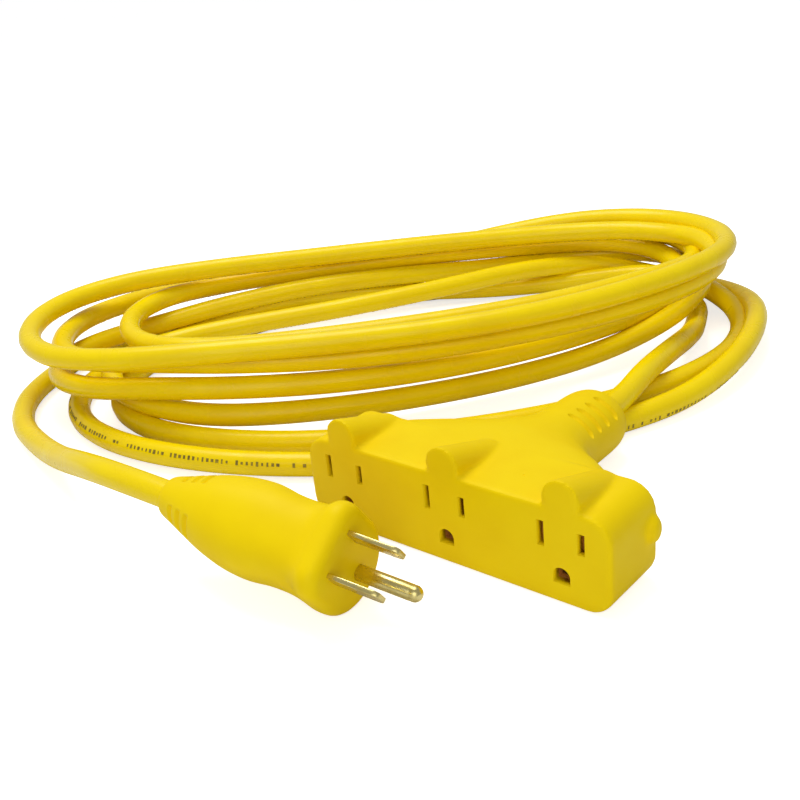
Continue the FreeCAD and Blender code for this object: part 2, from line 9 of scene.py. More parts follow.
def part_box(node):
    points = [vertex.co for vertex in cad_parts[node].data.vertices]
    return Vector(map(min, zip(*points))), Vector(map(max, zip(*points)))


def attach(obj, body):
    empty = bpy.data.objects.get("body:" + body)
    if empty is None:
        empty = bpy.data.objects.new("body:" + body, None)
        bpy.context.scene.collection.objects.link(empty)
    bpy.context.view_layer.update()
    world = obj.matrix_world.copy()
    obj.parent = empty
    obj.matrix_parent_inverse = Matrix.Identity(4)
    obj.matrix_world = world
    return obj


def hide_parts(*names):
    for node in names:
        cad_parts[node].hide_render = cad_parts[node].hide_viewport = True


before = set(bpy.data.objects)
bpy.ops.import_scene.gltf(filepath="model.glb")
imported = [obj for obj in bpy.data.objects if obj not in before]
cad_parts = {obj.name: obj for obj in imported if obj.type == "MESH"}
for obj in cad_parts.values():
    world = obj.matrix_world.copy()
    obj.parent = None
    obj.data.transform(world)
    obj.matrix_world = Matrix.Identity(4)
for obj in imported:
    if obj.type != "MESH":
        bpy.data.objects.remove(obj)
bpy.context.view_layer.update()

scene = bpy.context.scene
mm = 0.001
print("frame loaded:", len(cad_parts), "nodes")

# ---- camera

camera = {"place": (0.1711, -0.2484, 0.1700), "heading": 42.12, "pitch": 66.5, "roll": -5.83, "lens": 46.9}


def turnAbout(axis, degrees):
    return Matrix.Rotation(math.radians(degrees), 4, axis)


cameraData = bpy.data.cameras.new("camera")
cameraData.lens = camera["lens"]
cameraData.sensor_width = 36
cameraData.clip_start = 0.01
cameraObject = bpy.data.objects.new("camera", cameraData)
cameraObject.matrix_world = (Matrix.Translation(camera["place"]) @ turnAbout("Z", camera["heading"])
                             @ turnAbout("X", camera["pitch"]) @ turnAbout("Z", camera["roll"]))
scene.collection.objects.link(cameraObject)
scene.camera = cameraObject

# ---- cord: from the tap, seven and a half turns of coil, then round to the plug

cord = {
    "diameter": 9 * mm, "length": 5.65, "pointsPerTurn": 22, "turns": 7.5,
    "squareness": 0.94,         # below 1 the turns are fuller than an ellipse
    "rise": 6,                  # how far the two turns of a layer climb, mm
    "blendTurn": 0.16,          # how much of a turn each climb to the next layer takes
    # the turns after humpFrom are laid higher where they cross the lead from the tap
    "humpHeight": 4, "humpAt": 0.87, "humpWide": 0.10, "humpFrom": 1.95,
    "lastOut": 8, "lastOutFrom": 6.7, "lastOutOver": 0.2,       # the last turn is laid wider
    "downFrom": 7.08, "downOver": 0.36,                         # and comes down to the floor
    # how far the back, front and left of each turn fall in towards the middle, mm
    "backIn": (-5, 10, 52, 29, 30, 4, 13, 8),
    "frontIn": (-6, -6, 5, -6, 29, 8, 1, -6),
    "leftIn": (0, 0, 20, 0, 28, 10, 0, 10),
}
# route where it isn't coiled, mm
tapLead = [(0, 45, 12), (0, 61, 12), (-2, 80, 14.4), (-8, 107, 14), (-15, 134, 13.6), (-21.5, 161, 9.5)]
plugLead = [(-232, -49, 4.5), (-207, -61, 4.6), (-178, -70, 6.6), (-150, -78, 12), (-122, -86, 20.5),
            (-95.7, -91.1, 26.0), (-71, -88.2, 23.8)]
# each layer is two turns: centre x, centre y, half length, half width and yaw where it starts and ends
coilLayers = [
    {"z": 4.5, "start": (-109, 89, 131, 71, 50), "end": (-111, 70, 151, 98, 43)},
    {"z": 13.5, "start": (-121, 88, 155, 82, 57), "end": (-143, 86, 146, 76, 51)},
    {"z": 22.5, "start": (-140, 98, 141, 74, 48), "end": (-134, 81, 157, 89, 48)},
    {"z": 31.5, "start": (-127, 72, 150, 77, 50), "end": (-140, 86, 149, 78, 44)},
]


def ease(value):
    value = max(0.0, min(1.0, value))
    return value * value * (3 - 2 * value)


def mix(first, second, share):
    return [a + (b - a) * share for a, b in zip(first, second)]


def layerShape(number, turn):
    layer = coilLayers[number]
    share = max(-0.1, min(1.1, (turn - 2 * number) / 2))
    return mix(layer["start"], layer["end"], share) + [layer["z"] + cord["rise"] * max(0, share)]


def rounded(value):
    return math.copysign(abs(value) ** cord["squareness"], value)


def coilPoint(turn):
    shape = layerShape(0, turn)
    for number in range(1, len(coilLayers)):
        share = ease((turn - 2 * number + cord["blendTurn"]) / (2 * cord["blendTurn"]))
        shape = mix(shape, layerShape(number, turn), share)
    centreX, centreY, halfLong, halfWide, yaw, height = shape
    out = cord["lastOut"] * ease((turn - cord["lastOutFrom"]) / cord["lastOutOver"])
    angle = 2 * math.pi * turn
    number = int(turn)
    cosine, sine = math.cos(angle), math.sin(angle)
    along = (halfLong + out) * rounded(cosine) + cord["leftIn"][number] * max(0, -cosine) ** 2
    across = ((halfWide + out) * rounded(sine) - cord["backIn"][number] * max(0, sine) ** 2
              + cord["frontIn"][number] * max(0, -sine) ** 2)
    if turn > cord["humpFrom"]:
        gap = ((turn % 1) - cord["humpAt"] + 0.5) % 1 - 0.5
        height += cord["humpHeight"] * math.exp(-(gap / cord["humpWide"]) ** 2)
    height += (coilLayers[0]["z"] - height) * ease((turn - cord["downFrom"]) / cord["downOver"])
    yaw = math.radians(yaw)
    return (centreX + along * math.cos(yaw) - across * math.sin(yaw),
            centreY + along * math.sin(yaw) + across * math.cos(yaw), height)


settling = {
    "steps": 240, "mostMove": 2,
    "apart": 9.7, "push": 0.4, "climb": 2,      # strands nearer than this part, the later turn upwards
    "sameStrand": 0.35,                         # points nearer in turns than this are one strand
    "tightest": 52, "ease": 0.8, "strides": (1, 2, 3),
    "stiffness": 0.35, "hold": 0.05, "sink": 0.015,
    "leadTurns": 0.2, "endTurnStep": 0.1,       # where the leads stand in the order of turns
    "looseTapLead": 3, "loosePlugLead": 1,      # lead points next to the coil that may move
}


# moves that part every pair of strands closer than they can lie
def pushApart(points, turns):
    start, span = points[:-1], points[1:] - points[:-1]
    reach = points[:, None] - start[None]
    share = numpy.clip((reach * span).sum(-1) / (span * span).sum(-1), 0, 1)
    away = reach - share[..., None] * span
    distance = numpy.linalg.norm(away, axis=-1)
    otherStrand = abs(turns[:, None] - turns[None, :-1]) > settling["sameStrand"]
    touching = (distance < settling["apart"]) & otherStrand
    which, segment = numpy.nonzero(touching)
    gap, direction = distance[which, segment], away[which, segment]
    direction[:, 2] += numpy.where(turns[which] > turns[segment], settling["climb"], -settling["climb"])
    direction /= numpy.linalg.norm(direction, axis=-1)[:, None]
    move = direction * (settling["apart"] - gap)[:, None] * settling["push"]
    moves = numpy.zeros_like(points)
    numpy.add.at(moves, which, move)
    part = share[which, segment][:, None]
    numpy.add.at(moves, segment, -move * (1 - part))
    numpy.add.at(moves, segment + 1, -move * part)
    return moves


# eases every bend that is tighter than the cord takes, seen over a short and a longer stretch
def easeBends(points):
    moves = numpy.zeros_like(points)
    for stride in settling["strides"]:
        before, after = points[:-2 * stride], points[2 * stride:]
        middle = (before + after) / 2 - points[stride:-stride]
        reach = numpy.linalg.norm(after - before, axis=-1) / 2
        sag = numpy.linalg.norm(middle, axis=-1)
        most = reach ** 2 / (2 * settling["tightest"])
        move = middle * numpy.clip(1 - most / numpy.maximum(sag, 1e-9), 0, 1)[:, None]
        moves[stride:-stride] += move / 2
        moves[:-2 * stride] -= move / 4
        moves[2 * stride:] -= move / 4
    return moves


# parts the turns and eases their bends; the sink is small, so the heap keeps its laid height and
# some stretches of the upper turns stay clear of what is under them
def settle(points, turns, loose):
    laid, mostMove = points.copy(), settling["mostMove"]
    for _ in range(settling["steps"]):
        bend = numpy.zeros_like(points)
        bend[1:-1] = (points[:-2] + points[2:]) / 2 - points[1:-1]
        stiff = bend.copy()
        stiff[1:-1] -= (bend[:-2] + bend[2:]) / 2
        move = (pushApart(points, turns) + settling["stiffness"] * stiff
                + settling["ease"] * easeBends(points))
        move[:, :2] += settling["hold"] * (laid - points)[:, :2]
        move[:, 2] -= settling["sink"]
        points = points + numpy.where(loose[:, None], numpy.clip(move, -mostMove, mostMove), 0)
        points[:, 2] = numpy.maximum(points[:, 2], cord["diameter"] / mm / 2)
    return points


fine = cord["pointsPerTurn"] * 2
coilTurns = [step / fine for step in range(int(cord["turns"] * fine) + 1)]
laidRoute = numpy.array(tapLead + [coilPoint(turn) for turn in coilTurns] + plugLead, float)
tapCount = len(tapLead)
leadTurns = [-settling["leadTurns"] * (tapCount - step) / tapCount for step in range(tapCount)]
endTurns = [cord["turns"] + settling["endTurnStep"] * step for step in range(1, len(plugLead) + 1)]
looseLeads = settling["looseTapLead"] + settling["loosePlugLead"]
loose = ([False] * (tapCount - settling["looseTapLead"]) + [True] * (len(coilTurns) + looseLeads)
         + [False] * (len(plugLead) - settling["loosePlugLead"]))
settled = settle(laidRoute, numpy.array(leadTurns + coilTurns + endTurns), numpy.array(loose))
coilEnd = tapCount + len(coilTurns)
route = [tuple(float(value) * mm for value in point)
         for point in [*settled[:tapCount], *settled[tapCount:coilEnd:2], *settled[coilEnd:]]]


def routeCurve(name, bevel):
    data = bpy.data.curves.new(name, "CURVE")
    data.dimensions = "3D"
    spline = data.splines.new("NURBS")
    spline.points.add(len(route) - 1)
    for point, place in zip(spline.points, route):
        point.co = (*place, 1)
    spline.order_u = 3
    spline.use_endpoint_u = True
    spline.resolution_u = 8
    data.bevel_depth = bevel
    data.bevel_resolution = 5
    data.use_fill_caps = bevel > 0
    item = bpy.data.objects.new(name, data)
    scene.collection.objects.link(item)
    return item


cordPiece = routeCurve("yellowCord", cord["diameter"] / 2)
print("cord laid:", len(route), "points")

# ---- floor and light

scene.view_settings.view_transform = "Standard"
scene.view_settings.look = "None"
light = {
    "world": 0.37, "floorGlow": 0.7,
    "key": {"place": (-0.36, 0.10, 1.0), "size": 0.75, "watts": 7.1},
    "fill": {"place": (0.55, -0.95, 0.55), "size": 1.1, "watts": 4.2},
}


def addMaterial(name):
    material = bpy.data.materials.new(name)
    material.use_nodes = True
    return material, material.node_tree, material.node_tree.nodes["Principled BSDF"]


def softLight(name, place, size, watts):
    data = bpy.data.lights.new(name, "AREA")
    data.shape = "DISK"
    data.size = size
    data.energy = watts
    item = bpy.data.objects.new(name, data)
    aim = Vector((-0.08, 0.04, 0.0)) - Vector(place)
    item.matrix_world = Matrix.Translation(place) @ aim.to_track_quat("-Z", "Y").to_matrix().to_4x4()
    scene.collection.objects.link(item)


for name in ("key", "fill"):
    softLight(name + "Light", **light[name])
world = bpy.data.worlds.new("studio")
world.use_nodes = True
world.node_tree.nodes["Background"].inputs["Color"].default_value = (1, 1, 1, 1)
world.node_tree.nodes["Background"].inputs["Strength"].default_value = light["world"]
scene.world = world

floorMesh = bpy.data.meshes.new("floor")
floorHalf = 20
floorMesh.from_pydata([(x * floorHalf, y * floorHalf, 0) for x, y in ((-1, -1), (1, -1), (1, 1), (-1, 1))],
                      [], [(0, 1, 2, 3)])
floor = bpy.data.objects.new("floor", floorMesh)
scene.collection.objects.link(floor)
floorMaterial, floorTree, floorShader = addMaterial("paleFloor")
floorShader.inputs["Base Color"].default_value = (0.8, 0.8, 0.8, 1)
floorShader.inputs["Roughness"].default_value = 0.8
floorShader.inputs["Emission Color"].default_value = (1, 1, 1, 1)
rayKind = floorTree.nodes.new("ShaderNodeLightPath")     # the glow is seen but lights nothing
glow = floorTree.nodes.new("ShaderNodeMath")
glow.operation = "MULTIPLY"
glow.inputs[1].default_value = light["floorGlow"]
floorTree.links.new(rayKind.outputs["Is Camera Ray"], glow.inputs[0])
floorTree.links.new(glow.outputs[0], floorShader.inputs["Emission Strength"])
floorMesh.materials.append(floorMaterial)
print("floor and lights set")

# ---- shared finishes


def buildGroup(name, inputs, outputs):
    group = bpy.data.node_groups.new(name, "ShaderNodeTree")
    for label, kind, value in inputs:
        socket = group.interface.new_socket(name=label, in_out="INPUT", socket_type=kind)
        socket.default_value = value
    for label, kind in outputs:
        group.interface.new_socket(name=label, in_out="OUTPUT", socket_type=kind)
    return group, group.nodes.new("NodeGroupInput"), group.nodes.new("NodeGroupOutput")


def addNoise(tree, scale, detail=3.0, distortion=0.0):
    noise = tree.nodes.new("ShaderNodeTexNoise")
    noise.inputs["Detail"].default_value = detail
    noise.inputs["Distortion"].default_value = distortion
    if isinstance(scale, (int, float)):
        noise.inputs["Scale"].default_value = scale
    else:
        tree.links.new(scale, noise.inputs["Scale"])
    return noise


def mapRange(tree, value, low, high, toLow, toHigh):
    node = tree.nodes.new("ShaderNodeMapRange")
    tree.links.new(value, node.inputs["Value"])
    for label, amount in (("From Min", low), ("From Max", high), ("To Min", toLow), ("To Max", toHigh)):
        if isinstance(amount, (int, float)):
            node.inputs[label].default_value = amount
        else:
            tree.links.new(amount, node.inputs[label])
    return node.outputs["Result"]


def mixColour(tree, share, first, second):
    node = tree.nodes.new("ShaderNodeMix")
    node.data_type = "RGBA"
    tree.links.new(share, node.inputs["Factor"])
    tree.links.new(first, node.inputs[6])
    tree.links.new(second, node.inputs[7])
    return node.outputs[2]


colourKind, numberKind = "NodeSocketColor", "NodeSocketFloat"


def buildVinylSkin():
    group, entry, leave = buildGroup(
        "vinylSkin",
        [("Clean", colourKind, (1, 1, 1, 1)), ("Dulled", colourKind, (0.8, 0.8, 0.8, 1)),
         ("Blotch Scale", numberKind, 40.0), ("Grain Scale", numberKind, 1400.0),
         ("Gloss Low", numberKind, 0.3), ("Gloss High", numberKind, 0.45)],
        [("Colour", colourKind), ("Roughness", numberKind), ("Height", numberKind)])
    place = group.nodes.new("ShaderNodeTexCoord")
    blotch = addNoise(group, entry.outputs["Blotch Scale"], 4.0, 0.3)
    grain = addNoise(group, entry.outputs["Grain Scale"], 3.0)
    for noise in (blotch, grain):
        group.links.new(place.outputs["Object"], noise.inputs["Vector"])
    share = mapRange(group, blotch.outputs["Fac"], 0.35, 0.75, 0.0, 1.0)
    group.links.new(mixColour(group, share, entry.outputs["Clean"], entry.outputs["Dulled"]),
                    leave.inputs["Colour"])
    group.links.new(mapRange(group, blotch.outputs["Fac"], 0.3, 0.7, entry.outputs["Gloss Low"],
                             entry.outputs["Gloss High"]), leave.inputs["Roughness"])
    group.links.new(grain.outputs["Fac"], leave.inputs["Height"])
    return group


def buildMetalSkin():
    group, entry, leave = buildGroup(
        "metalSkin",
        [("Bright", colourKind, (1, 1, 1, 1)), ("Tarnished", colourKind, (0.5, 0.5, 0.5, 1)),
         ("Stain Scale", numberKind, 300.0), ("Scratch Scale", numberKind, 2500.0)],
        [("Colour", colourKind), ("Roughness", numberKind), ("Height", numberKind)])
    place = group.nodes.new("ShaderNodeTexCoord")
    stain = addNoise(group, entry.outputs["Stain Scale"], 5.0, 0.6)
    scratch = addNoise(group, entry.outputs["Scratch Scale"], 2.0, 2.0)
    for noise in (stain, scratch):
        group.links.new(place.outputs["Object"], noise.inputs["Vector"])
    share = mapRange(group, stain.outputs["Fac"], 0.4, 0.75, 0.0, 1.0)
    group.links.new(mixColour(group, share, entry.outputs["Bright"], entry.outputs["Tarnished"]),
                    leave.inputs["Colour"])
    group.links.new(mapRange(group, stain.outputs["Fac"], 0.3, 0.8, 0.16, 0.42), leave.inputs["Roughness"])
    group.links.new(scratch.outputs["Fac"], leave.inputs["Height"])
    return group


vinylSkin, metalSkin = buildVinylSkin(), buildMetalSkin()


def finishMaterial(name, group, values, bumpDistance, bumpStrength, **sockets):
    material, tree, shader = addMaterial(name)
    skin = tree.nodes.new("ShaderNodeGroup")
    skin.node_tree = group
    for label, value in values.items():
        skin.inputs[label].default_value = value
    bump = tree.nodes.new("ShaderNodeBump")
    bump.inputs["Distance"].default_value = bumpDistance
    bump.inputs["Strength"].default_value = bumpStrength
    tree.links.new(skin.outputs["Colour"], shader.inputs["Base Color"])
    tree.links.new(skin.outputs["Roughness"], shader.inputs["Roughness"])
    tree.links.new(skin.outputs["Height"], bump.inputs["Height"])
    tree.links.new(bump.outputs["Normal"], shader.inputs["Normal"])
    for label, value in sockets.items():
        shader.inputs[label.replace("_", " ")].default_value = value
    return material


def vinyl(name, clean, dulled, blotch, grain, gloss, bump, **sockets):
    values = {"Clean": (*clean, 1), "Dulled": (*dulled, 1), "Blotch Scale": blotch, "Grain Scale": grain,
              "Gloss Low": gloss[0], "Gloss High": gloss[1]}
    return finishMaterial(name, vinylSkin, values, bump * mm, 0.6, **sockets)


def metal(name, bright, tarnished, stain, scratch):
    values = {"Bright": (*bright, 1), "Tarnished": (*tarnished, 1), "Stain Scale": stain,
              "Scratch Scale": scratch}
    return finishMaterial(name, metalSkin, values, 0.02 * mm, 0.4, Metallic=1.0)


finishes = {
    "yellowMoulding": vinyl("yellowMoulding", (0.95, 0.70, 0.0), (0.90, 0.635, 0.0), 45, 900,
                            (0.42, 0.55), 0.05, Specular_IOR_Level=0.1),
    "yellowJacket": vinyl("yellowJacket", (0.97, 0.735, 0.0), (0.92, 0.67, 0.0), 70, 500,
                          (0.22, 0.32), 0.03, Specular_IOR_Level=0.24),
    "carrierPlastic": vinyl("carrierPlastic", (0.62, 0.27, 0.05), (0.50, 0.20, 0.04), 90, 1600,
                            (0.45, 0.6), 0.02),
    "whiteInsulation": vinyl("whiteInsulation", (0.82, 0.81, 0.77), (0.72, 0.70, 0.64), 120, 1500,
                             (0.35, 0.5), 0.02),
    "blackInsulation": vinyl("blackInsulation", (0.02, 0.02, 0.02), (0.035, 0.033, 0.03), 120, 1500,
                             (0.35, 0.5), 0.02),
    "greenInsulation": vinyl("greenInsulation", (0.02, 0.25, 0.06), (0.03, 0.19, 0.05), 120, 1500,
                             (0.35, 0.5), 0.02),
    "printInk": vinyl("printInk", (0.16, 0.115, 0.012), (0.42, 0.30, 0.01), 420, 2500, (0.5, 0.7), 0.01),
    "brass": metal("brass", (0.80, 0.69, 0.30), (0.58, 0.47, 0.15), 260, 2600),
    "copper": metal("copper", (0.83, 0.40, 0.24), (0.42, 0.17, 0.09), 320, 2800),
    "tinnedCrimp": metal("tinnedCrimp", (0.68, 0.67, 0.64), (0.42, 0.41, 0.39), 300, 2400),
}
print("finishes made:", len(finishes))

# ---- mesh helpers


def newPiece(name, shape, finish, smooth=True):
    data = bpy.data.meshes.new(name)
    shape.normal_update()
    shape.to_mesh(data)
    shape.free()
    if smooth:
        data.polygons.foreach_set("use_smooth", [True] * len(data.polygons))
    data.materials.append(finishes[finish])
    item = bpy.data.objects.new(name, data)
    scene.collection.objects.link(item)
    return item


def bakeModifiers(item):
    bpy.context.view_layer.update()
    evaluated = item.evaluated_get(bpy.context.evaluated_depsgraph_get())
    data = bpy.data.meshes.new_from_object(evaluated)
    item.modifiers.clear()
    item.data = data
    return item


def loftRings(shape, rings):
    loops = [[shape.verts.new(point) for point in ring] for ring in rings]
    count = len(loops[0])
    for first, second in zip(loops, loops[1:]):
        for step in range(count):
            after = (step + 1) % count
            shape.faces.new((first[step], first[after], second[after], second[step]))
    shape.faces.new(list(reversed(loops[0])))
    shape.faces.new(loops[-1])


def boxRings(low, high):
    (x0, y0, z0), (x1, y1, z1) = low, high
    return [[(x0, y, z0), (x1, y, z0), (x1, y, z1), (x0, y, z1)] for y in (y0, y1)]


def removeShape(item, cutter):
    cut = item.modifiers.new("cut", "BOOLEAN")
    cut.operation = "DIFFERENCE"
    cut.solver = "EXACT"
    cut.object = cutter
    bakeModifiers(item)
    bpy.data.objects.remove(cutter)


def between(table, depth):
    for first, second in zip(table, table[1:]):
        if depth <= second[0]:
            break
    span = second[0] - first[0]
    share = max(0.0, min(1.0, (depth - first[0]) / span))
    before = table[max(0, table.index(first) - 1)]
    after = table[min(len(table) - 1, table.index(second) + 1)]
    result = []
    for column in range(1, len(first)):
        slopeIn = (second[column] - before[column]) / (second[0] - before[0]) * span
        slopeOut = (after[column] - first[column]) / (after[0] - first[0]) * span
        square, cube = share ** 2, share ** 3
        result.append((2 * cube - 3 * square + 1) * first[column] + (cube - 2 * square + share) * slopeIn
                      + (3 * square - 2 * cube) * second[column] + (cube - square) * slopeOut)
    return result


def power(value, exponent):
    return math.copysign(abs(value) ** exponent, value)


# ---- tap

tapLow, tapHigh = (corner * 1000 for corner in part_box("tap_overmould"))
tap = {
    "face": tapLow.y, "deep": 25.5, "halfLong": 55, "high": 29.9, "corner": 8, "edge": 1.1,
    "pitch": 39.5, "slotHeight": 20.9, "groundHeight": 9.0, "bladeOffset": 6.35, "skin": 3.0,
    "crestRadius": 5.9, "crestFront": 32.7, "crestBack": 24.6,
    "slotWide": 2.3, "neutralHigh": 8.0, "hotHigh": 6.6, "holeRadius": 2.75, "holeFoot": 2.4,
    "voxel": 0.72, "smoothing": 5,
    "crestEdge": 0.7, "crestStations": (0.3, 0.6, 0.85, 0.97), "crestSides": 40, "cornerSteps": 8,
    "webRings": 90, "webSides": 64, "floorGap": 0.15, "bumpSides": 32, "bumpRings": 6,
}
# web and strain relief: depth, half width, half height, height of the centre, squareness
webSections = [
    (12, 48, 14.95, 15.0, 0.42), (24, 45.5, 14.95, 15.0, 0.42), (34, 36, 14.4, 14.7, 0.52),
    (44, 24.5, 13.4, 14.1, 0.7), (54, 16.6, 12.5, 13.1, 0.88), (62, 14.2, 12.1, 12.4, 1.0),
    (72, 13.5, 11.8, 12.0, 1.0), (82, 13.1, 11.6, 12.0, 1.0), (86.5, 12.0, 10.9, 12.0, 1.0),
    (89, 10.4, 9.4, 12.0, 1.0), (90, 8.2, 7.4, 12.0, 1.0),
]
reliefGrooves = {"start": 63.5, "pitch": 5.6, "count": 4, "radius": 1.45, "from": 14, "to": 66, "sink": -0.3,
                 "taper": (0.35, 0.8, 1.0), "steps": 12}
endBump = {"radius": 4.8, "sunk": 0.8, "high": 2.5, "depth": 22.0, "up": 17.5,
           "topShare": 0.93, "narrow": 0.75}
gateDot = {"low": 0.3, "top": 0.6, "deep": 0.6, "sides": 20, "place": (20.7, -33.3)}
outlets = [-tap["pitch"], 0.0, tap["pitch"]]


def inMetres(rings):
    return [[tuple(value * mm for value in point) for point in ring] for ring in rings]


def barOutline(y, inset):
    ring, radius = [], tap["corner"] - inset
    for quarter, (sideX, sideZ) in enumerate(((1, 1), (-1, 1), (-1, -1), (1, -1))):
        centreX = sideX * (tap["halfLong"] - tap["corner"])
        centreZ = tap["high"] / 2 + sideZ * (tap["high"] / 2 - tap["corner"])
        for step in range(tap["cornerSteps"] + 1):
            angle = math.radians(90 * quarter + 90 * step / tap["cornerSteps"])
            ring.append((centreX + radius * math.cos(angle), y, centreZ + radius * math.sin(angle)))
    return ring


def edgeSteps(edge):
    angles = [math.radians(angle) for angle in (0, 30, 60, 90)]
    return [(edge * (1 - math.cos(angle)), edge * (1 - math.sin(angle))) for angle in angles]


def barRings():
    steps = edgeSteps(tap["edge"])
    back = tap["face"] + tap["deep"]
    return ([barOutline(tap["face"] + along, inset) for along, inset in steps]
            + [barOutline(back - along, inset) for along, inset in reversed(steps)])


def crestRings(centre):
    stations = edgeSteps(tap["crestEdge"]) + [(tap["deep"] * share, 0) for share in tap["crestStations"]]
    rings, sides = [], tap["crestSides"]
    for depth, inset in stations:
        height = tap["crestFront"] + (tap["crestBack"] - tap["crestFront"]) * depth / tap["deep"]
        radius = tap["crestRadius"] - inset
        rings.append([(centre + radius * math.cos(2 * math.pi * step / sides), tap["face"] + depth,
                       height + radius * math.sin(2 * math.pi * step / sides)) for step in range(sides)])
    return rings


def webRings():
    rings = []
    first, last = webSections[0][0], webSections[-1][0]
    for number in range(tap["webRings"] + 1):
        depth = first + (last - first) * number / tap["webRings"]
        wide, high, height, squareness = between(webSections, depth)
        ring = []
        for step in range(tap["webSides"]):
            angle = 2 * math.pi * step / tap["webSides"]
            ring.append((wide * power(math.cos(angle), squareness), tap["face"] + depth,
                         max(tap["floorGap"], height + high * power(math.sin(angle), squareness))))
        rings.append(ring)
    return rings


def endBumpRings(side):
    rings, centre = [], tap["face"] + endBump["depth"]
    angles = [-side * 2 * math.pi * step / tap["bumpSides"] for step in range(tap["bumpSides"])]
    for number in range(tap["bumpRings"] + 1):
        lift = number / tap["bumpRings"]
        radius = endBump["radius"] * math.sqrt(1 - (lift * endBump["topShare"]) ** 2)
        x = side * (tap["halfLong"] - endBump["sunk"] + (endBump["sunk"] + endBump["high"]) * lift)
        rings.append([(x, centre + radius * endBump["narrow"] * math.cos(angle),
                       endBump["up"] + radius * math.sin(angle)) for angle in angles])
    return rings


def facing(shape):
    bmesh.ops.recalc_face_normals(shape, faces=shape.faces)
    return shape


def tapShell():
    shape = bmesh.new()
    bodies = [barRings(), webRings(), endBumpRings(1), endBumpRings(-1)]
    for rings in bodies + [crestRings(centre) for centre in outlets]:
        loftRings(shape, inMetres(rings))
    item = newPiece("tapMoulding", facing(shape), "yellowMoulding")
    remesh = item.modifiers.new("remesh", "REMESH")
    remesh.mode = "VOXEL"
    remesh.voxel_size = tap["voxel"] * mm
    soften = item.modifiers.new("soften", "SMOOTH")
    soften.factor = 0.5
    soften.iterations = tap["smoothing"]
    return bakeModifiers(item)


def slotCutter():
    shape = bmesh.new()
    front, back = tap["face"] - 1, tap["face"] + tap["skin"] + 0.3
    for centre in outlets:
        for side, high in ((-1, tap["neutralHigh"]), (1, tap["hotHigh"])):
            x = centre + side * tap["bladeOffset"]
            low = (x - tap["slotWide"] / 2, front, tap["slotHeight"] - high / 2)
            top = (x + tap["slotWide"] / 2, back, tap["slotHeight"] + high / 2)
            loftRings(shape, inMetres(boxRings(low, top)))
        rings = []
        for y in (front, back):
            ring = [(centre + tap["holeRadius"] * math.cos(math.pi * step / 16), y,
                     tap["groundHeight"] + tap["holeRadius"] * math.sin(math.pi * step / 16))
                    for step in range(17)]
            low = tap["groundHeight"] - tap["holeFoot"]
            rings.append(ring + [(centre - tap["holeRadius"], y, low), (centre + tap["holeRadius"], y, low)])
        loftRings(shape, inMetres(rings))
    return newPiece("slotCutter", facing(shape), "yellowMoulding")


def tubeRings(centres, radius, sides=14):
    rings = []
    for number, centre in enumerate(centres):
        before, after = centres[max(0, number - 1)], centres[min(len(centres) - 1, number + 1)]
        along = (Vector(after) - Vector(before)).normalized()
        across = along.cross(Vector((0, 1, 0))).normalized()
        upward = across.cross(along)
        end = min(number, len(centres) - 1 - number)
        size = radius * reliefGrooves["taper"][min(end, 2)]
        rings.append([tuple(Vector(centre) + size * (math.cos(2 * math.pi * step / sides) * across
                                                     + math.sin(2 * math.pi * step / sides) * upward))
                      for step in range(sides)])
    return rings


def grooveCutter():
    shape = bmesh.new()
    for number in range(reliefGrooves["count"]):
        depth = reliefGrooves["start"] + number * reliefGrooves["pitch"]
        wide, high, height, squareness = between(webSections, depth)
        for turn in (0, 180):
            centres = []
            for step in range(reliefGrooves["steps"] + 1):
                share = step / reliefGrooves["steps"]
                angle = reliefGrooves["from"] + (reliefGrooves["to"] - reliefGrooves["from"]) * share
                angle = math.radians(90 - angle + turn)
                centres.append(((wide - reliefGrooves["sink"]) * math.cos(angle), tap["face"] + depth,
                                height + (high - reliefGrooves["sink"]) * math.sin(angle)))
            loftRings(shape, inMetres(tubeRings(centres, reliefGrooves["radius"])))
    return newPiece("grooveCutter", facing(shape), "yellowMoulding")


def gateCutter():
    shape = bmesh.new()
    x, y = gateDot["place"]
    angles = [2 * math.pi * step / gateDot["sides"] for step in range(gateDot["sides"])]
    levels = ((gateDot["low"], tap["high"] - gateDot["deep"]), (gateDot["top"], tap["high"] + 1))
    loftRings(shape, inMetres([[(x + radius * math.cos(angle), y + radius * math.sin(angle), z)
                                for angle in angles] for radius, z in levels]))
    return newPiece("gateCutter", facing(shape), "yellowMoulding")


def cavityCutter():
    shape = bmesh.new()
    low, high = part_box("tap_carrier")
    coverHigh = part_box("tap_carrier_cover")[1]
    loftRings(shape, boxRings((low.x, low.y, low.z), (high.x, coverHigh.y, high.z)))
    return newPiece("cavityCutter", facing(shape), "yellowMoulding")


tapPiece = tapShell()
removeShape(tapPiece, grooveCutter())
removeShape(tapPiece, gateCutter())
removeShape(tapPiece, slotCutter())
removeShape(tapPiece, cavityCutter())
print("tap moulded:", len(tapPiece.data.polygons), "faces")

# ---- plug, in its own axes: x neutral to hot blade, y towards the ground pin, z out along the blades

plug = {
    "place": (-5.2, -82.9, 20.9), "axis": (-0.462, 0.823, -0.331), "turn": 103.05,
    "flangeRadius": 14.2, "flangeCentre": 8.5, "flangeFlat": 8.5, "flangeCorner": 6.5,
    "faceEdge": 2.4, "long": 66, "rings": 150, "sides": 176,
    "grooves": (50.5, 54.5, 58.5), "grooveWide": 1.0, "grooveDeep": 1.2, "grooveHalfAngle": 24,
    "grooveTilt": 40, "grooveFade": 8, "grooveSlope": 0.45,
}
